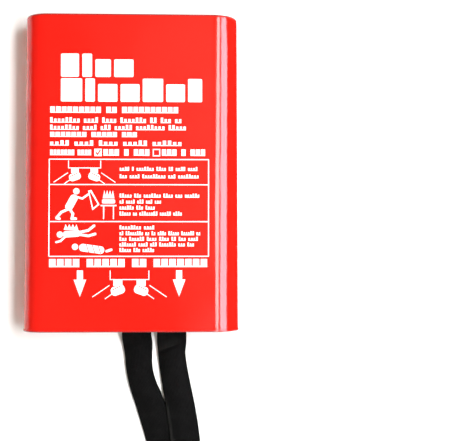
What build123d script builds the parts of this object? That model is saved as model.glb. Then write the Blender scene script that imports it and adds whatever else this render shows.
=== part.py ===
from build123d import *
import math
import os

# Fire blanket in a hard case that hangs on a wall, with two pull tapes below it.
# Millimetres. +Z is up, +Y is towards the wall and +X is to the right for a person facing the case.
# The origin is the centre of the keyhole's round entry, on the case's flat back.

# Case: a moulded shell, closed at the top and open at the bottom
MOUTH_WIDTH = 160.0
TOP_WIDTH = 158.0
DEPTH = 35.0
HEIGHT = 235.0
WALL = 1.8
TOP_EDGE_RADIUS = 2.0
INNER_EDGE_RADIUS = 1.0
BEAD_HEIGHT = 1.6
BEAD_PROUD = 0.4
BEAD_RADIUS = 0.36
BACK_STEP_HEIGHT = 2.2
BACK_STEP_DEPTH = 4.0

# Keyhole in the back wall
ENTRY_RADIUS = 5.0
SLOT_RADIUS = 2.7
SLOT_RISE = 8.9
SHOULDER_RADIUS = 1.5
ENTRY_BELOW_TOP = 30.3

# Folded blanket
PACK_WIDTH = 144.0
PACK_CORNER = 11.0
PACK_FRONT_GAP = 0.6
PACK_REAR_GAP = 4.8
PACK_TOP_GAP = 1.0
PACK_RECESS = 9.0
PACK_END_RADIUS = 6.0

# Pull tapes
TAPE_WIDTH = 22.4
TAPE_THICKNESS = 1.3
TAPE_SEWN = 28.0
TAPE_PIVOT_DROP = 4.0
FLEX_GAP = 0.8
TAPE_X = {"left": 2.8, "right": 29.8}

# Thread
THREAD = 0.5
STITCH_WIDTH = 0.6
SEAM_SIZE = 19.0
SEAM_ABOVE_PACK_END = 4.0
END_SEAM_RISE = 13.0
END_SEAM_SPACING = 3.0
END_SEAM_INSET = 2.0
HEM_INSET = 7.0
HEM_SIDE_INSET = 1.0
THREAD_CLEARANCE = 0.05
STITCH_LENGTH = 3.2
STITCH_PITCH = 4.4

# Printed ink
INK = 0.15
FRAME_LINE = 0.75
FINE_LINE = 0.6
BLOCK_CORNER = 1.0

# Rows of blocks: widths as shares of a letter's pitch and heights as shares of the row's height
WORD_GAP = 0.75
BOLD_BLOCK = 0.82
LIGHT_BLOCK = 0.64
LOW_BLOCK = 0.26
FOOT_LINE = 0.16

TOP_Z = ENTRY_BELOW_TOP
RIM_Z = TOP_Z - HEIGHT
FRONT_Y = -DEPTH
PACK_BOTTOM_Z = RIM_Z + PACK_RECESS
PACK_TOP_Z = TOP_Z - WALL - PACK_TOP_GAP
PACK_FRONT_Y = FRONT_Y + WALL + PACK_FRONT_GAP
PACK_REAR_Y = -WALL - PACK_REAR_GAP
PACK_DEPTH = PACK_REAR_Y - PACK_FRONT_Y
PIVOT_Z = RIM_Z - TAPE_PIVOT_DROP
TAPE_Y = PACK_REAR_Y + TAPE_THICKNESS / 2

# Each tape's centreline below the flex line. The tapes lean back to the wall below the case, drift to the
# right as they hang and then straighten. The right tape stays further forward, and passes over the left.
TAPE_ROUTE = {
    "left": [
        (2.8, TAPE_Y, PIVOT_Z),
        (4.3, -4.2, RIM_Z - 17.0),
        (4.9, -1.9, RIM_Z - 30.0),
        (7.8, -1.1, RIM_Z - 43.5),
        (13.4, -0.95, RIM_Z - 57.5),
        (19.8, -0.9, RIM_Z - 78.5),
        (26.3, -1.1, RIM_Z - 102.5),
        (31.3, -1.15, RIM_Z - 130.5),
        (33.5, -1.0, RIM_Z - 160.0),
        (33.9, -0.95, RIM_Z - 189.0),
    ],
    "right": [
        (29.8, TAPE_Y, PIVOT_Z),
        (29.6, -4.3, RIM_Z - 22.0),
        (32.9, -3.3, RIM_Z - 42.0),
        (37.2, -2.9, RIM_Z - 65.0),
        (40.6, -2.7, RIM_Z - 89.0),
        (42.6, -2.75, RIM_Z - 116.0),
        (43.2, -2.9, RIM_Z - 136.0),
        (43.1, -2.85, RIM_Z - 161.0),
        (43.3, -2.75, RIM_Z - 186.0),
    ],
}


def box(x, y, z):
    """A box from its low and high limits along each axis."""
    size = (x[1] - x[0], y[1] - y[0], z[1] - z[0])
    centre = ((x[0] + x[1]) / 2, (y[0] + y[1]) / 2, (z[0] + z[1]) / 2)
    return Pos(*centre) * Box(*size)


def stadium(width, depth, z):
    """A horizontal face with half-round ends, its back edge at the case's back plane."""
    return Pos(0, -DEPTH / 2, z) * SlotOverall(width, depth)


def keyhole():
    """The keyhole's cutter: a round entry, a narrower slot above it and rounded shoulders between."""
    reach = ENTRY_RADIUS + SHOULDER_RADIUS
    side = SLOT_RADIUS + SHOULDER_RADIUS
    shoulder_z = math.sqrt(reach**2 - side**2)
    touch = ENTRY_RADIUS / reach
    outline = Circle(ENTRY_RADIUS)
    outline += Pos(0, SLOT_RISE) * Circle(SLOT_RADIUS)
    outline += Pos(0, SLOT_RISE / 2) * Rectangle(2 * SLOT_RADIUS, SLOT_RISE)
    wedge = Polygon(
        (-side * touch, shoulder_z * touch),
        (-side, shoulder_z),
        (-SLOT_RADIUS, shoulder_z),
        (SLOT_RADIUS, shoulder_z),
        (side, shoulder_z),
        (side * touch, shoulder_z * touch),
        align=None,
    )
    for sign in (-1, 1):
        wedge -= Pos(sign * side, shoulder_z) * Circle(SHOULDER_RADIUS)
    outline += wedge
    return extrude(Plane.XZ.offset(-WALL) * outline, 3 * WALL)


def make_case():
    outer = loft([stadium(MOUTH_WIDTH, DEPTH, RIM_Z).face(), stadium(TOP_WIDTH, DEPTH, TOP_Z).face()])
    outer = fillet(outer.faces().sort_by(Axis.Z)[-1].edges(), TOP_EDGE_RADIUS)
    bead = extrude(stadium(MOUTH_WIDTH + 2 * BEAD_PROUD, DEPTH + 2 * BEAD_PROUD, RIM_Z), BEAD_HEIGHT)
    bead_ends = bead.faces().sort_by(Axis.Z)
    bead = fillet(bead_ends[0].edges() + bead_ends[-1].edges(), BEAD_RADIUS)
    cavity_depth = DEPTH - 2 * WALL
    cavity = loft(
        [
            stadium(MOUTH_WIDTH - 2 * WALL, cavity_depth, RIM_Z).face(),
            stadium(TOP_WIDTH - 2 * WALL, cavity_depth, TOP_Z - WALL).face(),
        ]
    )
    cavity = fillet(cavity.faces().sort_by(Axis.Z)[-1].edges(), INNER_EDGE_RADIUS)
    step_height = (RIM_Z - BACK_STEP_HEIGHT, RIM_Z + BACK_STEP_HEIGHT)
    step = box((-MOUTH_WIDTH, MOUTH_WIDTH), (-BACK_STEP_DEPTH, DEPTH), step_height)
    return outer + bead - cavity - step - keyhole()


def make_blanket():
    pack = box((-PACK_WIDTH / 2, PACK_WIDTH / 2), (PACK_FRONT_Y, PACK_REAR_Y), (PACK_BOTTOM_Z, PACK_TOP_Z))
    pack = fillet(pack.edges().filter_by(Axis.Z), PACK_CORNER)
    ends = pack.faces().sort_by(Axis.Z)
    return fillet(ends[0].edges() + ends[-1].edges(), PACK_END_RADIUS)


def stitches(start, end, y, skipped=0):
    """A row of stitches from start to end in X and Z, between y and y + THREAD, less some at each end."""
    along = Vector(end[0] - start[0], end[1] - start[1])
    count = max(1, int((along.length + STITCH_PITCH - STITCH_LENGTH) / STITCH_PITCH))
    spare = along.length - count * STITCH_PITCH + STITCH_PITCH - STITCH_LENGTH
    turn = math.degrees(math.atan2(along.Y, along.X))
    row = []
    for i in range(skipped, count - skipped):
        middle = spare / 2 + i * STITCH_PITCH + STITCH_LENGTH / 2
        place = Vector(*start) + along.normalized() * middle
        stitch = SlotOverall(STITCH_LENGTH, STITCH_WIDTH)
        plane = Plane((place.X, y, place.Y), x_dir=(1, 0, 0), z_dir=(0, -1, 0))
        row.append(extrude(plane * Rot(0, 0, turn) * stitch, -THREAD))
    return row


def rounded(points):
    """Straight runs joined by tangent arcs, each nearly as large as its two runs allow, and the radii."""
    radii = []
    for before, here, after in zip(points, points[1:], points[2:]):
        run_in = Vector(*here) - Vector(*before)
        run_out = Vector(*after) - Vector(*here)
        turn = math.radians(run_in.get_angle(run_out))
        radii.append(0.45 * min(run_in.length, run_out.length) / math.tan(turn / 2))
    return FilletPolyline(*points, radius=radii), radii


def make_tape(side):
    """The hanging part of one tape: its route's front view and side view, each given its width, crossed."""
    front, front_radii = rounded([(x, z) for x, y, z in TAPE_ROUTE[side]])
    profile, side_radii = rounded([(y, z) for x, y, z in TAPE_ROUTE[side]])
    across = extrude(Plane.XZ * trace(front, TAPE_WIDTH), DEPTH, both=True)
    along = extrude(Plane.YZ * trace(profile, TAPE_THICKNESS), MOUTH_WIDTH, both=True)
    tape = across & along
    section = TAPE_WIDTH * TAPE_THICKNESS
    print(side, "tape front view radii", [round(radius) for radius in front_radii])
    print(side, "tape side view radii", [round(radius) for radius in side_radii])
    print(side, "tape volume", round(tape.volume), "section x length", round(section * front.length))
    return tape


def make_tail(side):
    """The sewn part of one tape, flat on the rear of the folded blanket, down to the flex line."""
    x = TAPE_X[side]
    half = TAPE_WIDTH / 2
    return box(
        (x - half, x + half),
        (PACK_REAR_Y, PACK_REAR_Y + TAPE_THICKNESS),
        (PIVOT_Z + FLEX_GAP, PACK_BOTTOM_Z + TAPE_SEWN),
    )


def make_seam(side):
    """The box seam with a cross in it that joins one tape to the blanket."""
    x = TAPE_X[side]
    low = PACK_BOTTOM_Z + SEAM_ABOVE_PACK_END
    y = PACK_REAR_Y + TAPE_THICKNESS
    left, right, high = x - SEAM_SIZE / 2, x + SEAM_SIZE / 2, low + SEAM_SIZE
    corners = [(left, low), (right, low), (right, high), (left, high)]
    rows = [stitches(a, b, y) for a, b in zip(corners, corners[1:] + corners[:1])]
    rows.append(stitches(corners[0], corners[2], y, skipped=1))
    rows.append(stitches(corners[1], corners[3], y, skipped=1))
    return Compound(children=unique([stitch for row in rows for stitch in row]))


def unique(solids):
    """The solids that stay clear of all those before them in the list."""
    kept = []
    for solid in solids:
        if all(solid.distance_to(other) > THREAD_CLEARANCE for other in kept):
            kept.append(solid)
    return kept


def make_end_seam(side):
    """Two rows of stitches across the folded lower end of one tape, on its front."""
    last_corner, end = Vector(*TAPE_ROUTE[side][-2]), Vector(*TAPE_ROUTE[side][-1])
    half = TAPE_WIDTH / 2 - END_SEAM_INSET
    rows = []
    for rise in (END_SEAM_RISE, END_SEAM_RISE - END_SEAM_SPACING):
        middle = end + (last_corner - end) * (rise / (last_corner - end).Z)
        row_y = middle.Y - TAPE_THICKNESS / 2 - THREAD
        rows += stitches((end.X - half, middle.Z), (end.X + half, middle.Z), row_y)
    return Compound(children=rows)


def make_hem_thread():
    """The hem stitches where the blanket's edges lie on the pack's rear: beside the tapes and up a side."""
    low = PACK_BOTTOM_Z + HEM_INSET
    high = PACK_TOP_Z - HEM_INSET
    edge = PACK_WIDTH / 2 - PACK_CORNER - HEM_SIDE_INSET
    left_tape = TAPE_X["left"] - TAPE_WIDTH / 2 - HEM_SIDE_INSET
    right_tape = TAPE_X["right"] + TAPE_WIDTH / 2 + HEM_SIDE_INSET
    rows = stitches((-edge, low), (left_tape, low), PACK_REAR_Y)
    rows += stitches((right_tape, low), (edge - STITCH_PITCH, low), PACK_REAR_Y)
    rows += stitches((edge, low), (edge, high), PACK_REAR_Y)
    return Compound(children=rows)


# Printed shapes: plain blocks and pictures, placed by X from the case's middle and Z above its rim.


def bar(left, bottom, right, top, corner=0.0):
    shape = Pos((left + right) / 2, (bottom + top) / 2) * Rectangle(right - left, top - bottom)
    return fillet(shape.vertices(), corner) if corner else shape


def oval(x, z, length, height, turn=0.0):
    return Pos(x, z) * Rot(0, 0, turn) * Ellipse(length / 2, height / 2)


def stroke(points, width=FINE_LINE):
    return trace(Polyline(*points), width)


def limb(points, width):
    """A stroke with round ends and joints."""
    return stroke(points, width) + [Pos(*point) * Circle(width / 2) for point in points]


def block_row(left, bottom, widths, gap, heights):
    """Large round-cornered blocks side by side."""
    shapes = []
    for width, height in zip(widths, heights):
        shapes.append(bar(left, bottom, left + width, bottom + height, BLOCK_CORNER))
        left += width + gap
    return shapes


def word_row(left, top, right, height, words, bold=False):
    """A row that fills the width: words of blocks, each word's blocks joined by a thin foot line."""
    unit = (right - left) / (sum(words) + WORD_GAP * (len(words) - 1))
    width = unit * (BOLD_BLOCK if bold else LIGHT_BLOCK)
    shapes = []
    for index, letters in enumerate(words):
        blocks = bar(left, top - height, left + (letters - 1) * unit + width, top - height * (1 - FOOT_LINE))
        for i in range(letters):
            is_tall = bold or (i * 3 + index * 2 + letters) % 5 in (0, 3)
            block_top = top if is_tall else top - height * LOW_BLOCK
            blocks += bar(left + i * unit, top - height, left + i * unit + width, block_top)
        shapes.append(blocks)
        left += (letters + WORD_GAP) * unit
    return shapes


def heading():
    tall, low = 17.2, 13.1
    shapes = block_row(-51.0, 187.7, (13.2, 7.2, 11.4, 14.2), 2.4, (tall, tall, low, low))
    widths = (15.6, 7.0, 14.2, 14.0, 15.0, 13.8, 10.4)
    return shapes + block_row(-51.0, 169.4, widths, 2.3, (tall, tall, low, low, tall, low, tall))


def upper_lines():
    shapes = word_row(-58.7, 165.7, 35.9, 4.6, (9, 2, 10), bold=True)
    shapes += word_row(-58.7, 157.8, 38.5, 4.0, (8, 4, 4, 7, 2, 3, 2))
    shapes += word_row(-58.7, 152.3, 41.8, 3.8, (8, 4, 3, 5, 8, 5))
    shapes += word_row(-58.7, 147.0, 5.5, 3.7, (7, 5, 3), bold=True)
    shapes += word_row(-58.7, 140.8, 38.9, 3.9, (4, 4, 4, 5, 6))
    return shapes


def size_boxes():
    """Two size choices: a ticked box and an open one, each with blocks beside it."""
    size = 5.5
    line = 0.8
    low = 129.2
    ticked, plain = -26.4, 16.5
    tick = stroke([(ticked + 1.1, low + 2.9), (ticked + 2.4, low + 1.4), (ticked + 4.5, low + 4.6)], 0.9)
    shapes = word_row(-58.7, 134.0, ticked - 1.8, 4.2, (7, 4), bold=True)
    shapes.append(bar(ticked, low, ticked + size, low + size) - tick)
    shapes += word_row(ticked + size + 1.2, 134.4, plain - 1.8, 4.8, (3, 1, 3), bold=True)
    inside = bar(plain + line, low + line, plain + size - line, low + size - line)
    shapes.append(bar(plain, low, plain + size, low + size) - inside)
    shapes += word_row(plain + size + 1.2, 134.4, 55.7, 4.8, (3, 1, 3), bold=True)
    return shapes


def table():
    left, right, top, bottom = -59.2, 57.6, 126.9, 55.6
    shapes = [bar(left, z - FRAME_LINE / 2, right, z + FRAME_LINE / 2) for z in (top, 108.3, 81.1, bottom)]
    shapes += [bar(x - FRAME_LINE / 2, bottom, x + FRAME_LINE / 2, top) for x in (left, right)]
    rows = [
        (121.4, 50.0, (4, 1, 7, 4, 2, 4, 4)),
        (115.9, 50.9, (3, 4, 9, 3, 8)),
        (101.7, 51.4, (5, 3, 7, 4, 3, 6)),
        (97.3, 23.2, (2, 4, 3, 3, 3)),
        (92.9, 18.6, (6, 3, 4)),
        (88.5, 38.5, (5, 2, 8, 5, 4)),
        (78.3, 18.4, (8, 4)),
        (74.0, 52.0, (2, 8, 2, 2, 4, 5, 6, 2)),
        (69.9, 50.4, (3, 6, 4, 4, 2, 3, 4)),
        (65.8, 47.5, (7, 4, 3, 7, 3, 3)),
        (61.7, 18.2, (5, 3, 5)),
    ]
    for row_top, row_right, words in rows:
        shapes += word_row(-7.7, row_top, row_right, 2.9, words)
    return shapes


def pull_picture(x, top, scale):
    """A box end with two tapes below it, a fist on each tape and two lines along each forearm."""
    box_end = top - 5.6 * scale
    shapes = []
    for side in (-1, 1):
        shapes.append(stroke([(x + side * 12 * scale, top), (x + side * 12 * scale, box_end), (x, box_end)]))
        inner, outer = sorted((x + side * 4.4 * scale, x + side * 10.0 * scale))
        shapes.append(bar(inner, top - 9.6 * scale, outer, box_end))
        fist = Pos(x + side * 7.2 * scale, top - 12.2 * scale) * Rot(0, 0, -side * 20)
        crease = Pos(x + side * 8.0 * scale, top - 10.8 * scale) * Rot(0, 0, -side * 26)
        shape = fist * RectangleRounded(8.8 * scale, 5.6 * scale, 2.3 * scale)
        shapes.append(shape - crease * Rectangle(6.4 * scale, 0.5))
        near, far = x + side * 12.4 * scale, x + side * 23 * scale
        shapes.append(stroke([(near, top - 9.2 * scale), (far, top - 16.4 * scale)]))
        near, far = x + side * 10.4 * scale, x + side * 15.2 * scale
        shapes.append(stroke([(near, top - 14.2 * scale), (far, top - 17.6 * scale)]))
    return shapes


def flames(x, z, length, height, count):
    """A row of pointed flames on a base line."""
    step = length / count
    points = [(x, z)]
    for i in range(count):
        points += [(x + (i + 0.5) * step, z + height), (x + (i + 1) * step, z + height * 0.35)]
    points[-1] = (x + length, z)
    return Polygon(*points, align=None)


def cover_picture():
    """A plain standing figure that lowers a sheet over a burning pan on a stand."""
    shapes = [Pos(-39.4, 103.4) * Circle(2.3)]
    shapes.append(limb([(-41.2, 98.2), (-44.6, 92.0)], 5.6))
    shapes.append(limb([(-45.4, 90.2), (-50.2, 88.0), (-53.6, 84.0)], 1.9))
    shapes.append(limb([(-44.0, 90.0), (-41.8, 86.8), (-42.6, 83.2)], 1.9))
    shapes.append(limb([(-53.6, 83.6), (-51.6, 83.2)], 1.9))
    shapes.append(limb([(-42.6, 83.2), (-39.8, 83.2)], 1.9))
    shapes.append(limb([(-40.2, 99.6), (-35.0, 98.0), (-30.2, 101.4)], 1.5))
    sheet = Polygon((-30.8, 103.8), (-28.4, 104.4), (-22.4, 93.6), (-27.6, 89.4), align=None)
    inside = Polygon((-29.8, 102.4), (-28.9, 102.6), (-23.7, 93.9), (-27.1, 91.2), align=None)
    shapes.append(sheet - inside)
    shapes.append(bar(-20.6, 94.4, -11.0, 97.4, 0.9))
    shapes.append(flames(-20.0, 98.2, 8.4, 6.0, 4))
    shapes.append(bar(-21.6, 92.4, -10.0, 93.4))
    shapes.append(stroke([(-19.4, 92.6), (-19.4, 83.0)], 0.8))
    shapes.append(stroke([(-12.2, 92.6), (-12.2, 83.0)], 0.8))
    return shapes


def wrap_picture():
    """A plain lying figure with flames on it, above one that is wrapped in a sheet."""
    shapes = [Pos(-51.2, 71.6) * Circle(2.3)]
    shapes.append(limb([(-46.6, 71.8), (-38.4, 72.4)], 4.8))
    shapes.append(limb([(-36.2, 73.4), (-30.6, 74.6), (-26.4, 78.0)], 1.9))
    shapes.append(limb([(-36.0, 71.4), (-30.4, 70.6), (-25.6, 72.0)], 1.9))
    shapes.append(limb([(-47.0, 70.4), (-50.8, 66.8), (-53.8, 66.0)], 1.5))
    shapes.append(flames(-48.4, 75.0, 10.6, 4.2, 4))
    shapes.append(Pos(-40.2, 62.6) * Circle(2.3))
    roll = limb([(-34.4, 62.0), (-21.6, 60.2)], 5.6)
    for x in (-32.2, -28.0, -23.8):
        roll -= stroke([(x, 64.9), (x + 2.4, 57.6)], 0.5)
    shapes.append(roll)
    shapes.append(limb([(-17.0, 59.4), (-13.8, 60.4)], 1.9))
    return shapes


def arrow(x):
    """A broad arrow that points down."""
    top, neck, point = 45.3, 38.6, 26.0
    shaft, head = 2.2, 4.6
    outline = [(x - shaft, top), (x + shaft, top), (x + shaft, neck), (x + head, neck)]
    outline += [(x, point), (x - head, neck), (x - shaft, neck)]
    return Polygon(*outline, align=None)


def make_print():
    shapes = heading() + upper_lines() + size_boxes() + table()
    shapes += pull_picture(-33.4, 126.0, 0.98) + cover_picture() + wrap_picture()
    shapes += word_row(-59.0, 53.7, 57.6, 6.0, (4, 5, 2, 7), bold=True)
    shapes += pull_picture(-0.3, 45.2, 1.18)
    shapes += [arrow(-36.5), arrow(36.0)]
    ink = Sketch() + shapes
    front = Plane((0, FRONT_Y, RIM_Z), x_dir=(1, 0, 0), z_dir=(0, -1, 0))
    return extrude(front * ink, INK, dir=(0, -1, 0))


parts = {
    "case": make_case(),
    "front_print": make_print(),
    "blanket": make_blanket(),
    "blanket_hem_thread": make_hem_thread(),
}
for side in ("left", "right"):
    parts[f"{side}_pull_tape"] = make_tape(side)
    parts[f"{side}_tape_tail"] = make_tail(side)
    parts[f"{side}_tape_seam"] = make_seam(side)
    parts[f"{side}_tape_end_seam"] = make_end_seam(side)

os.makedirs("parts", exist_ok=True)
for name, shape in parts.items():
    export_step(shape, f"parts/{name}.step")
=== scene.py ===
import math

import bpy
import numpy as np
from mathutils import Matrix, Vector


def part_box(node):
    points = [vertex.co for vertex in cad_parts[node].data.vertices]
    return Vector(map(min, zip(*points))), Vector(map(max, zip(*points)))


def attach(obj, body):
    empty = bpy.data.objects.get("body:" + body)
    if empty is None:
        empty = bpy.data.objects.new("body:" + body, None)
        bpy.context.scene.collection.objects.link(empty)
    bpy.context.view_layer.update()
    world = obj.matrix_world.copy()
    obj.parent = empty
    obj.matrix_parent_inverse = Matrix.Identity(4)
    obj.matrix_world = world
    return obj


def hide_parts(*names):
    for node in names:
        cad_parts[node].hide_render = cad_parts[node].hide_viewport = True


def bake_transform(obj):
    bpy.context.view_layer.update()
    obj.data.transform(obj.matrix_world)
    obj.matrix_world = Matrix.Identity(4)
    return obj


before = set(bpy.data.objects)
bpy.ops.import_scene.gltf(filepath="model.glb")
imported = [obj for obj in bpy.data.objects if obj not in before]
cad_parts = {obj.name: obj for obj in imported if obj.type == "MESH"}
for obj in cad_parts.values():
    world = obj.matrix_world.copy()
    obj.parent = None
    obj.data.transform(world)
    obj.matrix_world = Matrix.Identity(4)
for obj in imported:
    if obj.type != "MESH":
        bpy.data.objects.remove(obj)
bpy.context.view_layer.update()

MM = 0.001

# Places, from the boxes of the CAD parts
case_low, case_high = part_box("case")
pack_low, pack_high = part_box("blanket")
RIM_Z = case_low.z
FRONT_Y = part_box("front_print")[1].y
PIVOT_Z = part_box("left_pull_tape")[1].z

# Blanket: a 1 m square of glass cloth, folded across its width and then along its length
CLOTH_SIZE = 1.0
CLOTH_THICKNESS = 0.42 * MM
PANELS_ACROSS = 7
FULL_PANELS_DOWN = 4

# Pull tapes
TAPE_WIDTH = 22.4 * MM
TAPE_THICKNESS = 1.3 * MM
TAPE_SEWN = 28 * MM
TAPE_Y = pack_high.y + TAPE_THICKNESS / 2
END_HEM = 16 * MM
# Where each tape is turned and curled most, how quickly that fades above and below, and the angles: its turn
# about its own line, and the curl from its middle to each edge
TAPE_TWIST = {
    "left": (70 * MM, 20 * MM, 24 * MM, math.radians(5), 0.86),
    "right": (55 * MM, 10 * MM, 36 * MM, math.radians(2), 0.72),
}
# A crease across the right tape: its place down the tape, its slope for each half width, its height and width
TAPE_CREASE = (51.2 * MM, -4.3 * MM, 1.3 * MM, 1.7 * MM)

# Sewing thread: its diameter, the distance between stitches and the length of one
THREAD = 0.5 * MM
STITCH_PITCH = 3.3 * MM
STITCH_LENGTH = 2.5 * MM

# The room that gloss shows: its colour and how bright it is away from its glow
ROOM_COLOUR = (1.0, 0.94, 0.74, 1)
ROOM_STRENGTH = 0.13

# The route of each tape, from its sewn top to its lower end: its CAD solids' route, with other distances from
# the wall where the tape curls and where its end is folded
TAPE_ROUTE = {
    "left": [
        (0.0028, TAPE_Y, pack_low.z + TAPE_SEWN),
        (0.0028, TAPE_Y, PIVOT_Z),
        (0.0036, -0.0030, RIM_Z - 0.0090),
        (0.0044, -0.0034, RIM_Z - 0.0180),
        (0.0049, -0.0044, RIM_Z - 0.0300),
        (0.0078, -0.0040, RIM_Z - 0.0435),
        (0.0134, -0.0021, RIM_Z - 0.0575),
        (0.0198, -0.0010, RIM_Z - 0.0785),
        (0.0263, -0.0010, RIM_Z - 0.1025),
        (0.0313, -0.0011, RIM_Z - 0.1305),
        (0.0335, -0.0018, RIM_Z - 0.1600),
        (0.0339, -0.0024, RIM_Z - 0.1890),
    ],
    "right": [
        (0.0298, TAPE_Y, pack_low.z + TAPE_SEWN),
        (0.0298, TAPE_Y, PIVOT_Z),
        (0.0297, -0.0030, RIM_Z - 0.0090),
        (0.0297, -0.0040, RIM_Z - 0.0220),
        (0.0330, -0.0037, RIM_Z - 0.0420),
        (0.0376, -0.0032, RIM_Z - 0.0650),
        (0.0408, -0.0029, RIM_Z - 0.0890),
        (0.0426, -0.0031, RIM_Z - 0.1160),
        (0.0432, -0.0042, RIM_Z - 0.1360),
        (0.0431, -0.0052, RIM_Z - 0.1610),
        (0.0433, -0.0053, RIM_Z - 0.1860),
    ],
}


# Camera, stage and light


def add_object(name, data):
    obj = bpy.data.objects.new(name, data)
    bpy.context.scene.collection.objects.link(obj)
    return obj


def make_camera():
    """A little above the case's rim and right of its middle, turned slightly up and to the right."""
    right, distance, above_rim = 0.0517, 0.7, 0.0639
    tilt_up, turn_right = 1.48, 2.14
    data = bpy.data.cameras.new("camera")
    data.sensor_width = 36
    data.lens = 72.44
    camera = add_object("camera", data)
    camera.location = (right, FRONT_Y - distance, RIM_Z + above_rim)
    camera.rotation_euler = (math.radians(90 + tilt_up), 0, math.radians(-turn_right))
    bpy.context.scene.camera = camera


def plane(name, corners):
    mesh = bpy.data.meshes.new(name)
    mesh.from_pydata(corners, [], [(0, 1, 2, 3)])
    return add_object(name, mesh)


def gloss_card(name, corners, graph):
    """A card that is seen only in gloss."""
    card = plane(name, corners)
    card.data.materials.append(graph.material)
    card.visible_camera = False
    card.visible_diffuse = False
    card.visible_shadow = False
    return card


def make_stage():
    """A pale wall, a pale floor and two cards that only gloss shows."""
    wall_y = case_high.y + 0.4 * MM
    reach = 3.0
    floor_z = RIM_Z - 0.75
    wall = plane(
        "wall",
        [(-reach, wall_y, floor_z), (reach, wall_y, floor_z), (reach, wall_y, reach), (-reach, wall_y, reach)],
    )
    floor = plane(
        "floor",
        [(-reach, -reach, floor_z), (reach, -reach, floor_z), (reach, reach, floor_z), (-reach, reach, floor_z)],
    )
    flag, card = make_flag(), make_card()
    wall.data.materials.append(wall_paint())
    floor.data.materials.append(floor_paint())


def wall_paint():
    """Pale paint that is clear from behind, so that the rear shows, and clear to the case's own back."""
    paint = Graph("stage_wall", 0.8)
    paint.shader.inputs["Base Color"].default_value = (0.93, 0.925, 0.92, 1)
    paint.shader.inputs["Specular IOR Level"].default_value = 0.1
    clear = paint.node("BsdfTransparent")
    path = paint.node("LightPath")
    from_close_by = paint.math("LESS_THAN", path.outputs["Ray Length"], 3 * MM)
    behind = paint.math("MAXIMUM", paint.node("NewGeometry").outputs["Backfacing"], path.outputs["Is Shadow Ray"])
    mix = paint.node("MixShader")
    paint.wire(paint.math("MAXIMUM", behind, from_close_by), mix.inputs[0])
    paint.wire(paint.shader.outputs[0], mix.inputs[1])
    paint.wire(clear.outputs[0], mix.inputs[2])
    paint.wire(mix.outputs[0], paint.tree.nodes["Material Output"].inputs["Surface"])
    return paint.material


def floor_paint():
    """Pale paint with a weak light of its own, which only a camera sees."""
    ground = Graph("stage_floor", 0.7)
    ground.shader.inputs["Base Color"].default_value = (0.86, 0.855, 0.85, 1)
    glow = ground.node("Emission")
    glow.inputs["Color"].default_value = (0.93, 0.925, 0.92, 1)
    seen = ground.node("LightPath").outputs["Is Camera Ray"]
    ground.wire(ground.math("MULTIPLY", seen, 0.5), glow.inputs["Strength"])
    both = ground.node("AddShader")
    ground.wire(ground.shader.outputs[0], both.inputs[0])
    ground.wire(glow.outputs[0], both.inputs[1])
    ground.wire(both.outputs[0], ground.tree.nodes["Material Output"].inputs["Surface"])
    return ground.material


def make_flag():
    """A dark red card just right of the case, where the photograph has another case."""
    flag_x = case_high.x + 3 * MM
    dark = Graph("stage_flag", 0.6)
    dark.shader.inputs["Base Color"].default_value = (0.06, 0.003, 0.002, 1)
    return gloss_card(
        "flag",
        [(flag_x, 0, RIM_Z), (flag_x, 0, case_high.z), (flag_x, FRONT_Y, case_high.z), (flag_x, FRONT_Y, RIM_Z)],
        dark,
    )


def make_card():
    """A card as dim as the room, which keeps the strips' glare off the case's flat front.

    It slants out from the right end of the flat front and leans as that end does.
    """
    flat_end, taper = 62 * MM, 1 / 235
    gap, depth, bearing = 0.6 * MM, 1.0, math.radians(8)
    bottom, top = -0.3, 0.7
    corners = []
    for out, height in ((0, bottom), (depth, bottom), (depth, top), (0, top)):
        x = flat_end - height * taper + out * math.sin(bearing)
        corners.append((x, FRONT_Y - gap - out * math.cos(bearing), RIM_Z + height))
    dim = Graph("stage_card", 1.0)
    dim.shader.inputs["Base Color"].default_value = (0, 0, 0, 1)
    dim.shader.inputs["Specular IOR Level"].default_value = 0.0
    dim.shader.inputs["Emission Color"].default_value = ROOM_COLOUR
    dim.shader.inputs["Emission Strength"].default_value = ROOM_STRENGTH
    return gloss_card("card", corners, dim)


def area_light(name, location, target, size, power, colour=(1, 1, 1)):
    data = bpy.data.lights.new(name, "AREA")
    data.shape = "RECTANGLE"
    data.size, data.size_y = size
    data.energy = power
    data.color = colour
    light = add_object(name, data)
    light.location = location
    light.rotation_euler = (Vector(target) - Vector(location)).to_track_quat("-Z", "Y").to_euler()
    light.visible_camera = False
    return light


def soft_box(name, bearing, half_angle, above_rim, height, power, colour, lean=0.0):
    """A soft box on a bearing to the right of straight ahead of the case's right corner.

    Its width is twice half_angle as seen from there. A negative lean takes its top further right.
    """
    distance = 1.1
    corner_inset = 18 * MM
    middle = Vector((case_high.x - corner_inset, 0, RIM_Z + above_rim))
    turn = math.radians(bearing)
    width = 2 * distance * math.tan(math.radians(half_angle))
    place = middle + distance * Vector((math.sin(turn), -math.cos(turn), 0))
    light = area_light(name, place, middle, (width, height), power, colour)
    light.rotation_euler.rotate_axis("Z", math.radians(lean))
    return light


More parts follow.
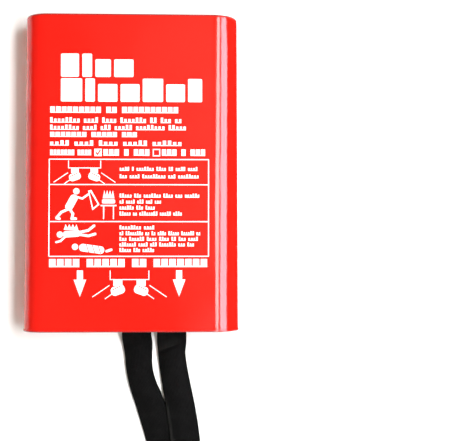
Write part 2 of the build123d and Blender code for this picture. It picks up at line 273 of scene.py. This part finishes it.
def make_lights():
    """A soft key from the right, two leaning strips that only gloss shows, and weak fill from front and rear."""
    key = soft_box("key", bearing=26.5, half_angle=8.5, above_rim=0.19, height=1.1, power=21.5, colour=(0.97, 0.985, 1))
    key.visible_glossy = False
    target = (0, 0, -0.1)
    fill = area_light("fill", (-0.5, -2.2, 0), target, size=(3.5, 2.5), power=12.2, colour=(1.0, 0.95, 0.82))
    fill.visible_glossy = False
    for name, bearing, half_angle, power, colour in (
        ("strip_inner", 16, 6.6, 8.8, (1.0, 0.97, 0.97)),
        ("strip_outer", 47, 15, 21.6, (0.94, 0.86, 1.0)),
    ):
        strip = soft_box(name, bearing, half_angle, 0.185, 0.85, power, colour, lean=-24)
        strip.visible_diffuse = False
    back = area_light("back_fill", (-0.2, 1.5, 0.5), target, size=(1.4, 1.2), power=13.5)
    back.visible_glossy = False
    make_world()
    bpy.context.scene.view_settings.view_transform = "Standard"


def make_world():
    """A dim warm room with a soft glow above and behind the camera. A pale backdrop is seen directly."""
    world = bpy.data.worlds.new("world")
    world.use_nodes = True
    nodes, links = world.node_tree.nodes, world.node_tree.links
    bearing, rise = math.radians(7), math.radians(8)
    glow_edge, glow_core, glow_strength = math.radians(16), math.radians(4), 0.70
    glow = nodes.new("ShaderNodeVectorMath")
    glow.operation = "DOT_PRODUCT"
    glow.inputs[1].default_value = (
        math.sin(bearing) * math.cos(rise),
        -math.cos(bearing) * math.cos(rise),
        math.sin(rise),
    )
    links.new(nodes.new("ShaderNodeTexCoord").outputs["Generated"], glow.inputs[0])
    strength = nodes.new("ShaderNodeMapRange")
    strength.interpolation_type = "SMOOTHSTEP"
    for key, value in (
        ("From Min", math.cos(glow_edge)),
        ("From Max", math.cos(glow_core)),
        ("To Min", ROOM_STRENGTH),
        ("To Max", glow_strength),
    ):
        strength.inputs[key].default_value = value
    links.new(glow.outputs["Value"], strength.inputs["Value"])
    fill = nodes["Background"]
    fill.inputs["Color"].default_value = ROOM_COLOUR
    links.new(strength.outputs[0], fill.inputs["Strength"])
    backdrop = nodes.new("ShaderNodeBackground")
    backdrop.inputs["Color"].default_value = (0.93, 0.93, 0.93, 1)
    mix = nodes.new("ShaderNodeMixShader")
    links.new(nodes.new("ShaderNodeLightPath").outputs["Is Camera Ray"], mix.inputs[0])
    links.new(fill.outputs[0], mix.inputs[1])
    links.new(backdrop.outputs[0], mix.inputs[2])
    links.new(mix.outputs[0], nodes["World Output"].inputs["Surface"])
    bpy.context.scene.world = world


# Materials


class Graph:
    """A material's nodes, wired by name."""

    def __init__(self, name, roughness):
        self.material = bpy.data.materials.new(name)
        self.material.use_nodes = True
        self.tree = self.material.node_tree
        self.shader = self.tree.nodes["Principled BSDF"]
        self.shader.inputs["Roughness"].default_value = roughness

    def node(self, kind, **settings):
        made = self.tree.nodes.new("ShaderNode" + kind)
        for key, value in settings.items():
            setattr(made, key, value)
        return made

    def wire(self, source, target):
        self.tree.links.new(source, target)

    def math(self, operation, a, b=None):
        made = self.node("Math", operation=operation)
        for socket, value in zip(made.inputs, (a, b)):
            if value is None:
                continue
            if isinstance(value, (int, float)):
                socket.default_value = value
            else:
                self.wire(value, socket)
        return made.outputs[0]

    def noise(self, coordinates, scale, detail=2.0, stretch=None):
        if stretch:
            mapping = self.node("Mapping")
            mapping.inputs["Scale"].default_value = stretch
            self.wire(coordinates, mapping.inputs["Vector"])
            coordinates = mapping.outputs[0]
        made = self.node("TexNoise")
        made.inputs["Scale"].default_value = scale
        made.inputs["Detail"].default_value = detail
        self.wire(coordinates, made.inputs["Vector"])
        return made.outputs["Fac"]

    def ramp(self, value, low, high, to_low=0.0, to_high=1.0):
        made = self.node("MapRange")
        self.wire(value, made.inputs["Value"])
        for key, number in (("From Min", low), ("From Max", high), ("To Min", to_low), ("To Max", to_high)):
            made.inputs[key].default_value = number
        return made.outputs[0]

    def mix_colour(self, factor, a, b):
        made = self.node("Mix", data_type="RGBA")
        self.wire(factor, made.inputs[0])
        for socket, value in ((made.inputs[6], a), (made.inputs[7], b)):
            if isinstance(value, tuple):
                socket.default_value = (*value, 1)
            else:
                self.wire(value, socket)
        return made.outputs[2]

    def bump(self, height, strength, distance, under=None):
        made = self.node("Bump")
        made.inputs["Strength"].default_value = strength
        made.inputs["Distance"].default_value = distance
        self.wire(height, made.inputs["Height"])
        if under is not None:
            self.wire(under, made.inputs["Normal"])
        return made.outputs[0]

    def place(self):
        return self.node("TexCoord").outputs["Object"]

    def cloth_place(self):
        made = self.node("UVMap", uv_map="cloth")
        return made.outputs[0]


def red_plastic():
    """Glossy moulded plastic: faint waviness, fine orange peel, smudges, a scuffed rim, and painted shade along the top
    edge and just above the rim.
    """
    g = Graph("case_red_gloss", 0.1)
    place = g.place()
    tone = g.ramp(g.noise(place, 14, 3), 0.3, 0.7)
    colour = g.mix_colour(tone, (0.79, 0.0100, 0.0050), (0.83, 0.0116, 0.0060))
    height = g.node("SeparateXYZ")
    g.wire(place, height.inputs[0])
    near_rim = g.ramp(height.outputs["Z"], RIM_Z + 2.2 * MM, RIM_Z + 0.2 * MM)
    scuff = g.math("MULTIPLY", near_rim, g.ramp(g.noise(place, 900, 4, (1, 1, 3)), 0.52, 0.66))
    colour = g.mix_colour(g.math("MULTIPLY", scuff, 0.4), colour, (0.80, 0.13, 0.10))
    # painted shade: a darker band along the rounded top edge and another just above the rim, where those edges turn
    # away from the light
    top_edge = g.ramp(height.outputs["Z"], case_high.z - 1.9 * MM, case_high.z - 1.1 * MM)
    painted_edge_shade = g.math("MAXIMUM", g.ramp(height.outputs["Z"], RIM_Z + 1.3 * MM, RIM_Z + 0.5 * MM), top_edge)
    colour = g.mix_colour(g.math("MULTIPLY", painted_edge_shade, 0.9), colour, (0.31, 0.020, 0.018))
    g.wire(colour, g.shader.inputs["Base Color"])
    smudge = g.ramp(g.noise(place, 38, 5), 0.35, 0.75, 0.06, 0.13)
    scratch = g.ramp(g.noise(place, 60, 6, (1, 1, 14)), 0.66, 0.74, 0.0, 0.08)
    rough = g.math("ADD", g.math("ADD", smudge, scratch), g.math("MULTIPLY", scuff, 0.3))
    g.wire(rough, g.shader.inputs["Roughness"])
    waves = g.bump(g.noise(place, 22, 1.5, (1, 1, 0.7)), 0.35, 1.0 * MM)
    g.wire(g.bump(g.noise(place, 1400, 2), 0.04, 0.1 * MM, waves), g.shader.inputs["Normal"])
    return g.material


def white_ink():
    """Screen-print ink: flat white with a faint mesh texture and thin spots."""
    g = Graph("print_white_ink", 0.42)
    place = g.place()
    thin = g.ramp(g.noise(place, 2600, 3), 0.62, 0.78, 0.0, 0.35)
    g.wire(g.mix_colour(thin, (0.90, 0.895, 0.885), (0.90, 0.45, 0.42)), g.shader.inputs["Base Color"])
    g.wire(g.ramp(g.noise(place, 240, 3), 0.3, 0.7, 0.36, 0.5), g.shader.inputs["Roughness"])
    g.wire(g.bump(g.noise(place, 3200, 2), 0.2, 0.05 * MM), g.shader.inputs["Normal"])
    return g.material


def weave(g, pitch_u, pitch_v):
    """A plain weave's height, from the cloth's own coordinates."""
    split = g.node("SeparateXYZ")
    g.wire(g.cloth_place(), split.inputs[0])
    across = g.math("DIVIDE", split.outputs["X"], pitch_u)
    along = g.math("DIVIDE", split.outputs["Y"], pitch_v)
    warp = g.math("ABSOLUTE", g.math("SINE", g.math("MULTIPLY", across, math.pi)))
    weft = g.math("ABSOLUTE", g.math("SINE", g.math("MULTIPLY", along, math.pi)))
    cells = g.math("ADD", g.math("FLOOR", across), g.math("FLOOR", along))
    over = g.math("PINGPONG", cells, 1.0)
    made = g.node("Mix", data_type="FLOAT")
    g.wire(over, made.inputs[0])
    g.wire(g.math("MULTIPLY", warp, g.math("POWER", weft, 0.35)), made.inputs[2])
    g.wire(g.math("MULTIPLY", weft, g.math("POWER", warp, 0.35)), made.inputs[3])
    return made.outputs[0]


def glass_cloth():
    """White woven glass yarn with a low sheen."""
    tint = (0.56, 0.545, 0.50)
    g = Graph("glass_cloth_weave", 0.55)
    height = weave(g, 0.8 * MM, 0.8 * MM)
    slub = g.ramp(g.noise(g.cloth_place(), 420, 3, (1, 0.08, 1)), 0.3, 0.7)
    light = tuple(c * 1.04 for c in tint)
    dark = tuple(c * 0.62 for c in tint)
    yarn = g.mix_colour(slub, tuple(c * 0.93 for c in tint), light)
    # painted shade between the yarns: the dark tone where the weave is low
    g.wire(g.mix_colour(g.ramp(height, 0.1, 0.6), dark, yarn), g.shader.inputs["Base Color"])
    g.wire(g.ramp(height, 0, 1, 0.68, 0.42), g.shader.inputs["Roughness"])
    g.shader.inputs["Sheen Weight"].default_value = 0.25
    g.wire(g.bump(height, 0.7, 0.18 * MM), g.shader.inputs["Normal"])
    return g.material


def black_webbing(side):
    """Black woven webbing: lengthwise ribs crossed by the weft, dull, paler in rubbed patches, with painted shade
    between the yarns; the right tape also has a painted highlight above its crease, painted shade in it and a painted
    highlight along its left edge.
    """
    g = Graph(f"{side}_tape_black_webbing", 0.7)
    height = weave(g, 1.05 * MM, 0.9 * MM)
    fibre = g.ramp(g.noise(g.cloth_place(), 2200, 3, (1, 0.15, 1)), 0.3, 0.7)
    worn = g.ramp(g.noise(g.cloth_place(), 90, 4), 0.45, 0.7)
    yarn = g.mix_colour(fibre, (0.0027, 0.0028, 0.0028), (0.0056, 0.0057, 0.0056))
    yarn = g.mix_colour(g.math("MULTIPLY", worn, 0.4), yarn, (0.0095, 0.0096, 0.0093))
    if side == "right":
        split = g.node("SeparateXYZ")
        g.wire(g.cloth_place(), split.inputs[0])
        across, along = split.outputs["X"], split.outputs["Y"]
        # painted highlight above the crease and painted shade in it, neither near the right edge
        place, slope = TAPE_CREASE[:2]
        past = g.math("SUBTRACT", along, g.math("ADD", g.math("MULTIPLY", across, slope / (TAPE_WIDTH / 2)), place))
        leftward = g.ramp(across, 8 * MM, 1 * MM)
        above = g.math("MULTIPLY", g.ramp(past, -8 * MM, -1 * MM), g.ramp(past, 0.2 * MM, -0.8 * MM))
        yarn = g.mix_colour(g.math("MULTIPLY", g.math("MULTIPLY", above, leftward), 0.8), yarn, (0.016, 0.016, 0.015))
        inside = g.ramp(g.math("ABSOLUTE", g.math("SUBTRACT", past, 1.3 * MM)), 1.6 * MM, 0.6 * MM)
        yarn = g.mix_colour(g.math("MULTIPLY", g.math("MULTIPLY", inside, leftward), 0.85), yarn, (0.0012,) * 3)
        # a painted highlight along its left edge where it lies on the other tape
        edge = g.math("MULTIPLY", g.ramp(across, -8.2 * MM, -10.2 * MM), g.ramp(along, 86 * MM, 98 * MM))
        yarn = g.mix_colour(g.math("MULTIPLY", edge, 0.8), yarn, (0.026, 0.026, 0.025))
    # painted shade between the yarns: near black where the weave is low
    g.wire(g.mix_colour(g.ramp(height, 0.05, 0.6), (0.0010, 0.0010, 0.0010), yarn), g.shader.inputs["Base Color"])
    g.wire(g.ramp(height, 0, 1, 0.85, 0.6), g.shader.inputs["Roughness"])
    g.shader.inputs["Specular IOR Level"].default_value = 0.04
    g.wire(g.bump(height, 0.8, 0.25 * MM), g.shader.inputs["Normal"])
    return g.material


def thread(name, dark, light):
    """Twisted sewing thread: the ply shows as slanted bands, with painted shade in the grooves between the plies."""
    g = Graph(name, 0.5)
    split = g.node("SeparateXYZ")
    g.wire(g.cloth_place(), split.inputs[0])
    turn = g.math("ADD", g.math("DIVIDE", split.outputs["Y"], 0.7 * MM), split.outputs["X"])
    ply = g.math("ABSOLUTE", g.math("SINE", g.math("MULTIPLY", turn, math.pi)))
    # painted shade: the dark colour in the grooves between the plies, the light one on their crests
    g.wire(g.mix_colour(ply, dark, light), g.shader.inputs["Base Color"])
    g.shader.inputs["Sheen Weight"].default_value = 0.2
    g.wire(g.bump(ply, 0.6, 0.1 * MM), g.shader.inputs["Normal"])
    return g.material


# Mesh helpers


def cloth_mesh(name, points, faces, corner_uvs, material):
    """A smooth mesh, with the flat cloth's coordinates at each corner of each face as its UV map."""
    mesh = bpy.data.meshes.new(name)
    mesh.from_pydata(points, [], faces)
    layer = mesh.uv_layers.new(name="cloth")
    layer.data.foreach_set("uv", np.array(corner_uvs).ravel())
    mesh.polygons.foreach_set("use_smooth", [True] * len(faces))
    mesh.materials.append(material)
    return add_object(name, mesh)


def grid_mesh(name, points, uvs, material, thickness):
    """A grid of points, rows by columns, as a cloth of this thickness."""
    rows, columns = points.shape[:2]
    index = np.arange(rows * columns).reshape(rows, columns)
    faces = np.stack([index[:-1, :-1], index[:-1, 1:], index[1:, 1:], index[1:, :-1]], axis=-1).reshape(-1, 4)
    corner_uvs = uvs.reshape(-1, 2)[faces.reshape(-1)]
    obj = cloth_mesh(name, points.reshape(-1, 3).tolist(), faces.tolist(), corner_uvs, material)
    solid = obj.modifiers.new("thickness", "SOLIDIFY")
    solid.thickness = thickness
    solid.offset = 0
    obj.data = bpy.data.meshes.new_from_object(obj.evaluated_get(bpy.context.evaluated_depsgraph_get()))
    obj.modifiers.clear()
    return obj


def stitches(name, runs, normal, material):
    """Rows of thread, each stitch a short arched tube that dips into the cloth at both ends."""
    sides, rings = 8, 9
    points, faces, uvs = [], [], []
    normal = np.array(normal, float)
    for start, end in runs:
        start, end = np.array(start, float), np.array(end, float)
        run = end - start
        span = np.linalg.norm(run)
        along = run / span
        beside = np.cross(along, normal)
        count = max(1, int(round(span / STITCH_PITCH)))
        for i in range(count):
            middle = start + run * (i + 0.5) / count
            first = len(points)
            for k in range(rings):
                t = k / (rings - 1)
                rise = math.sin(math.pi * t) ** 0.5
                radius = THREAD / 2 * (0.55 + 0.45 * math.sin(math.pi * t))
                centre = middle + along * (t - 0.5) * STITCH_LENGTH + normal * THREAD * (0.72 * rise - 0.45)
                for s in range(sides):
                    angle = 2 * math.pi * s / sides
                    points.append(centre + radius * (math.cos(angle) * beside + math.sin(angle) * normal))
                    uvs.append((s / sides, t * STITCH_LENGTH))
            for k in range(rings - 1):
                for s in range(sides):
                    a = first + k * sides + s
                    b = first + k * sides + (s + 1) % sides
                    faces.append((a, b, b + sides, a + sides))
            faces.append(tuple(first + s for s in reversed(range(sides))))
            faces.append(tuple(first + (rings - 1) * sides + s for s in range(sides)))
    corner_uvs = [uvs[corner] for face in faces for corner in face]
    return cloth_mesh(name, [tuple(p) for p in points], faces, corner_uvs, material)


# Blanket


PACK_DEPTH = pack_high.y - pack_low.y
PACK_HEIGHT = pack_high.z - pack_low.z
DEPTH_SLACK, HEIGHT_SLACK = 0.4 * MM, 0.5 * MM
LAYERS = PANELS_ACROSS * (FULL_PANELS_DOWN + 1)
PITCH = (PACK_DEPTH - DEPTH_SLACK) / LAYERS

# First fold, across: single panels, one pitch apart, make a stack
RADIUS_ACROSS = PITCH / 2
STRAIGHT_ACROSS = CLOTH_SIZE / PANELS_ACROSS - math.pi * RADIUS_ACROSS
STACK = PITCH * PANELS_ACROSS

# Second fold, down: the whole stack turns, its middle on this radius, and the first panel is the cloth's rest
TURN_DOWN = STACK / 2
STRAIGHT_DOWN = PACK_HEIGHT - 2 * (TURN_DOWN + STACK / 2) - HEIGHT_SLACK
PANEL_DOWN = STRAIGHT_DOWN + math.pi * TURN_DOWN
FIRST_STRAIGHT_DOWN = CLOTH_SIZE - FULL_PANELS_DOWN * PANEL_DOWN - math.pi * TURN_DOWN


def zigzag(distance, straight, radius, first_straight):
    """Where a point of a folded strip lies: along the panels, through the stack, and the strip's normal.

    The strip runs straight, turns back through a half circle, and so on. The first panel is first_straight long.
    """
    along, depth = np.empty_like(distance), np.empty_like(distance)
    normal_along, normal_depth = np.empty_like(distance), np.empty_like(distance)
    turn = math.pi * radius
    for i, d in enumerate(distance):
        panel, left = 0, d
        straight_here = first_straight
        while left > straight_here + turn:
            left -= straight_here + turn
            panel += 1
            straight_here = straight
        way = 1 if panel % 2 == 0 else -1
        edge = straight if way > 0 else 0.0
        start = straight - first_straight if panel == 0 else (0.0 if way > 0 else straight)
        if left <= straight_here:
            along[i], depth[i] = start + way * left, 2 * radius * panel
            normal_along[i], normal_depth[i] = 0.0, way
        else:
            angle = (left - straight_here) / radius
            along[i] = edge + way * radius * math.sin(angle)
            depth[i] = 2 * radius * panel + radius * (1 - math.cos(angle))
            normal_along[i] = -way * math.sin(angle)
            normal_depth[i] = way * math.cos(angle)
    return along, depth, normal_along, normal_depth


def samples(straight, radius, first_straight, total, steps, turn_steps):
    """Distances along a folded strip, close together in its turns."""
    marks = [0.0]
    here, straight_here = 0.0, first_straight
    while here < total - 1e-6:
        marks += list(np.linspace(here, min(here + straight_here, total), steps)[1:])
        here += straight_here
        if here >= total - 1e-6:
            break
        marks += list(np.linspace(here, min(here + math.pi * radius, total), turn_steps)[1:])
        here += math.pi * radius
        straight_here = straight
    return np.array(marks)


def fold(u, v):
    """The folded blanket's point for each (u, v) of the flat cloth."""
    x, layer, _, _ = zigzag(u, STRAIGHT_ACROSS, RADIUS_ACROSS, STRAIGHT_ACROSS)
    x = x - STRAIGHT_ACROSS / 2
    layer = layer - STACK / 2 + PITCH / 2
    z, depth, normal_z, normal_depth = zigzag(v, STRAIGHT_DOWN, TURN_DOWN, FIRST_STRAIGHT_DOWN)
    # v starts part of the way up the front, runs down to the first turn and ends at the bottom of the rear
    height = pack_low.z + (STACK / 2 + TURN_DOWN) + STRAIGHT_DOWN - z[:, None] - layer[None, :] * normal_z[:, None]
    back = pack_low.y + DEPTH_SLACK / 2 + STACK / 2 + depth[:, None] + layer[None, :] * normal_depth[:, None]
    side = np.broadcast_to(x[None, :], height.shape)
    return settle(np.stack([side, back, height], axis=-1))


def settle(points):
    """The pack as it lies in its case: its ends follow the round sides, and its layers wave a little together.

    The layers above the middle, where the front is one thickness thinner, spread out to fill the case.
    """
    x, y, z = points[..., 0], points[..., 1], points[..., 2]
    wave_depth, dent_depth = 0.45 * MM, 0.55 * MM
    # the case's round sides, less a little clearance
    middle_y = (case_low.y + case_high.y) / 2 + 0.3 * MM
    arc_x, arc_radius = 61.6 * MM, 14.9 * MM
    past = np.clip(np.abs(x) - arc_x, 0, arc_radius * 0.95)
    front_limit = middle_y - np.sqrt(arc_radius**2 - past**2)
    squeeze = np.clip((pack_high.y - front_limit) / PACK_DEPTH, 0, 1)
    share = (z - pack_low.z) / PACK_HEIGHT
    loosen = 1 + 0.16 / (1 + np.exp(-(share - 0.56) * 30)) * np.clip((1 - share) * 12, 0, 1)
    gap = pack_high.y - y
    y = pack_high.y - np.minimum(gap * loosen, PACK_DEPTH) * squeeze
    wave = np.sin(x * 46 + 0.6) * np.sin(z * 31 + 1.1) + 0.5 * np.sin(x * 97 - z * 58)
    inside = np.clip(gap / PACK_DEPTH, 0, 1) * np.clip((PACK_DEPTH - gap) / PACK_DEPTH, 0, 1) * 4
    y = y + wave_depth * wave * inside
    # shallow dents in the front, which fade towards the flat rear
    dent = np.sin(x * 88 + z * 64 + 0.4) * np.sin(z * 118 - x * 31) + 0.6 * np.sin(x * 163 - z * 97 + 2.0)
    y = y + dent_depth * (1.6 + dent) * squeeze * np.clip(gap / PACK_DEPTH, 0, 1)
    return np.stack([x, y, z], axis=-1)


def make_blanket():
    cloth = glass_cloth()
    u = samples(STRAIGHT_ACROSS, RADIUS_ACROSS, STRAIGHT_ACROSS, CLOTH_SIZE, 12, 6)
    v = samples(STRAIGHT_DOWN, TURN_DOWN, FIRST_STRAIGHT_DOWN, CLOTH_SIZE, 16, 14)
    uv = np.stack(np.meshgrid(u, v), axis=-1)
    blanket = grid_mesh("blanket_cloth", fold(u, v), uv, cloth, CLOTH_THICKNESS)
    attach(blanket, "blanket")
    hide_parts("blanket")


# Pull tapes


def smooth_route(points):
    """The points of the smooth line that has these as its control points."""
    curve = bpy.data.curves.new("route", "CURVE")
    curve.dimensions = "3D"
    curve.resolution_u = 12
    spline = curve.splines.new("NURBS")
    spline.points.add(len(points) - 1)
    for point, place in zip(spline.points, points):
        point.co = (*place, 1)
    spline.order_u = 3
    spline.use_endpoint_u = True
    obj = bpy.data.objects.new("route", curve)
    mesh = bpy.data.meshes.new_from_object(obj)
    line = np.array([v.co[:] for v in mesh.vertices])
    bpy.data.meshes.remove(mesh)
    bpy.data.objects.remove(obj)
    bpy.data.curves.remove(curve)
    return line


def lengths(line):
    return np.concatenate([[0], np.cumsum(np.linalg.norm(np.diff(line, axis=0), axis=1))])


def tape_frame(side):
    """Stations down one tape, its centre there, the directions across and out of it, its curl and looseness."""
    line = smooth_route(TAPE_ROUTE[side])
    travelled = lengths(line)
    stations = np.linspace(0, travelled[-1], 180)
    centre = np.stack([np.interp(stations, travelled, line[:, k]) for k in range(3)], axis=1)
    tangent = np.gradient(centre, axis=0)
    tangent /= np.linalg.norm(tangent, axis=1)[:, None]
    across = np.cross(tangent, (0, 1, 0))
    across /= np.linalg.norm(across, axis=1)[:, None]
    across *= np.sign(across[:, :1])
    out = np.cross(across, tangent)
    out *= -np.sign(out[:, 1:2])
    # 0 down to the hinge, and 1 from a little below it
    loose = np.clip((stations - TAPE_SEWN - (pack_low.z - PIVOT_Z)) / (16 * MM), 0, 1)
    loose = loose * loose * (3 - 2 * loose)
    middle, above, below, turn, curl = TAPE_TWIST[side]
    away = stations - middle
    near = np.exp(-((away / np.where(away < 0, above, below)) ** 2))
    turn = (turn * near)[:, None]
    wide = across * np.cos(turn) - out * np.sin(turn)
    out = out * np.cos(turn) + across * np.sin(turn)
    return stations, centre, wide, out, curl * np.sqrt(near) * loose + 0.01, loose


def make_tape(side, webbing):
    """One tape from its sewn top to its lower end, which is folded back: a closed flat tube along its route."""
    stations, centre, wide, out, curl, loose = tape_frame(side)
    # the section runs round the webbing: front face left to right, then the back face right to left
    columns = np.linspace(-1, 1, 21)
    edge = 0.5 * (1 - 0.5 * np.abs(columns) ** 16)
    share = np.concatenate([columns, -columns])[None, :]
    height = np.concatenate([edge, -edge])[None, :] * TAPE_THICKNESS
    curl = curl[:, None]
    radius = TAPE_WIDTH / 2 / curl + height
    sideways = radius * np.sin(curl * share)
    lift = radius * np.cos(curl * share) - TAPE_WIDTH / 2 / curl * np.sin(curl) / curl
    ripple, phase = 0.3 * MM, 0.0 if side == "left" else 1.7
    lift += (ripple * np.sin(stations * 140 + phase) * loose)[:, None]
    if side == "right":
        place, slope, rise, width = TAPE_CREASE
        away = stations[:, None] - place - slope * share
        lift += rise * np.exp(-((away / width) ** 2)) * loose[:, None]
    rings = centre[:, None] + wide[:, None] * sideways[:, :, None] + out[:, None] * lift[:, :, None]
    # the hem: a tight half circle, then up the back
    bend = TAPE_THICKNESS / 2 + 0.06 * MM
    down = centre[-1] - centre[-2]
    down /= np.linalg.norm(down)
    hinge = rings[-1].mean(axis=0) - out[-1] * bend
    flat = share[0] * TAPE_WIDTH / 2
    hem, hem_stations = [], []
    for angle in np.linspace(0, math.pi, 9)[1:]:
        arm = out[-1] * math.cos(angle) + down * math.sin(angle)
        hem.append(hinge + arm * bend + wide[-1] * flat[:, None] + arm * height[0][:, None])
        hem_stations.append(stations[-1] + angle * bend)
    folded = hem[-1]
    for back in np.linspace(0, END_HEM, 9)[1:]:
        bow = 0.25 * MM * (math.sin(math.pi * back / END_HEM) - back / END_HEM)
        hem.append(folded - down * back - out[-1] * bow)
        hem_stations.append(stations[-1] + math.pi * bend + back)
    rings = np.concatenate([rings, np.array(hem)])
    stations = np.concatenate([stations, hem_stations])
    uvs = np.stack(np.broadcast_arrays(share * TAPE_WIDTH / 2, stations[:, None]), axis=-1)
    return tube_mesh(f"{side}_tape_webbing", rings, uvs, webbing), centre, out


def tube_mesh(name, rings, uvs, material):
    """A closed tube of rings of points, with both ends filled."""
    count, sides = rings.shape[:2]
    faces, corner_uvs = [], []
    for i in range(count - 1):
        for s in range(sides):
            n = (s + 1) % sides
            quad = [(i, s), (i + 1, s), (i + 1, n), (i, n)]
            faces.append([a * sides + b for a, b in quad])
            corner_uvs += [tuple(uvs[a, b]) for a, b in quad]
    half = sides // 2
    for end in (0, count - 1):
        for s in range(half - 1):
            quad = [(end, s), (end, s + 1), (end, sides - 2 - s), (end, sides - 1 - s)]
            quad = quad if end == 0 else quad[::-1]
            faces.append([a * sides + b for a, b in quad])
            corner_uvs += [tuple(uvs[a, b]) for a, b in quad]
    return cloth_mesh(name, rings.reshape(-1, 3).tolist(), faces, corner_uvs, material)


def make_tapes():
    black_thread = thread("tape_thread_black", (0.006, 0.006, 0.007), (0.03, 0.03, 0.032))
    for side in ("left", "right"):
        tape, path, out = make_tape(side, black_webbing(side))
        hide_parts(f"{side}_pull_tape", f"{side}_tape_tail")
        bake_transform(tape)
        seam = tape_seam(side, black_thread)
        end_seam = tape_end_seam(side, path, out, black_thread)


def tape_seam(side, material):
    """The box seam with a cross in it, on the rear of the sewn stretch."""
    low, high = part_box(f"{side}_tape_seam")
    y = pack_high.y + TAPE_THICKNESS
    inset = 0.3 * MM
    corners = [
        (low.x + inset, y, low.z + inset),
        (high.x - inset, y, low.z + inset),
        (high.x - inset, y, high.z - inset),
        (low.x + inset, y, high.z - inset),
    ]
    runs = list(zip(corners, corners[1:] + corners[:1])) + [(corners[0], corners[2]), (corners[1], corners[3])]
    seam = stitches(f"{side}_tape_box_stitches", runs, (0, 1, 0), material)
    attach(seam, "blanket")
    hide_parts(f"{side}_tape_seam")
    return seam


def tape_end_seam(side, path, out, material):
    """Two rows across the lower end, near the top of the hem that is folded behind it."""
    half = TAPE_WIDTH / 2 - 2 * MM
    rows = (13 * MM, 10 * MM)
    from_end = lengths(path)[-1] - lengths(path)
    runs = []
    for rise in rows:
        i = int(np.argmin(np.abs(from_end - rise)))
        middle = path[i] + out[i] * TAPE_THICKNESS / 2
        runs.append((middle - (half, 0, 0), middle + (half, 0, 0)))
    seam = stitches(f"{side}_tape_end_stitches", runs, out[i], material)
    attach(seam, f"{side}_tape")
    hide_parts(f"{side}_tape_end_seam")
    return seam


def make_hem():
    """The blanket's hem stitches where its edges lie on the pack's rear."""
    white = thread("hem_thread_white", (0.45, 0.44, 0.40), (0.86, 0.85, 0.80))
    low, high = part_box("blanket_hem_thread")
    y = pack_high.y
    inset, tape_gap, corner_gap = 0.3 * MM, 1 * MM, 3 * MM
    left_end = TAPE_ROUTE["left"][0][0] - TAPE_WIDTH / 2 - tape_gap
    right_end = TAPE_ROUTE["right"][0][0] + TAPE_WIDTH / 2 + tape_gap
    z, edge_x = low.z + inset, high.x - inset
    runs = [
        ((low.x, y, z), (left_end, y, z)),
        ((right_end, y, z), (high.x - corner_gap, y, z)),
        ((edge_x, y, z), (edge_x, y, high.z)),
    ]
    hem = stitches("blanket_hem_stitches", runs, (0, 1, 0), white)
    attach(hem, "blanket")
    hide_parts("blanket_hem_thread")


def paint_cad():
    for node, material in (("case", red_plastic()), ("front_print", white_ink())):
        for material_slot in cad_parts[node].material_slots:
            material_slot.material = material


make_camera()
make_stage()
make_lights()
paint_cad()
make_blanket()
make_hem()
make_tapes()
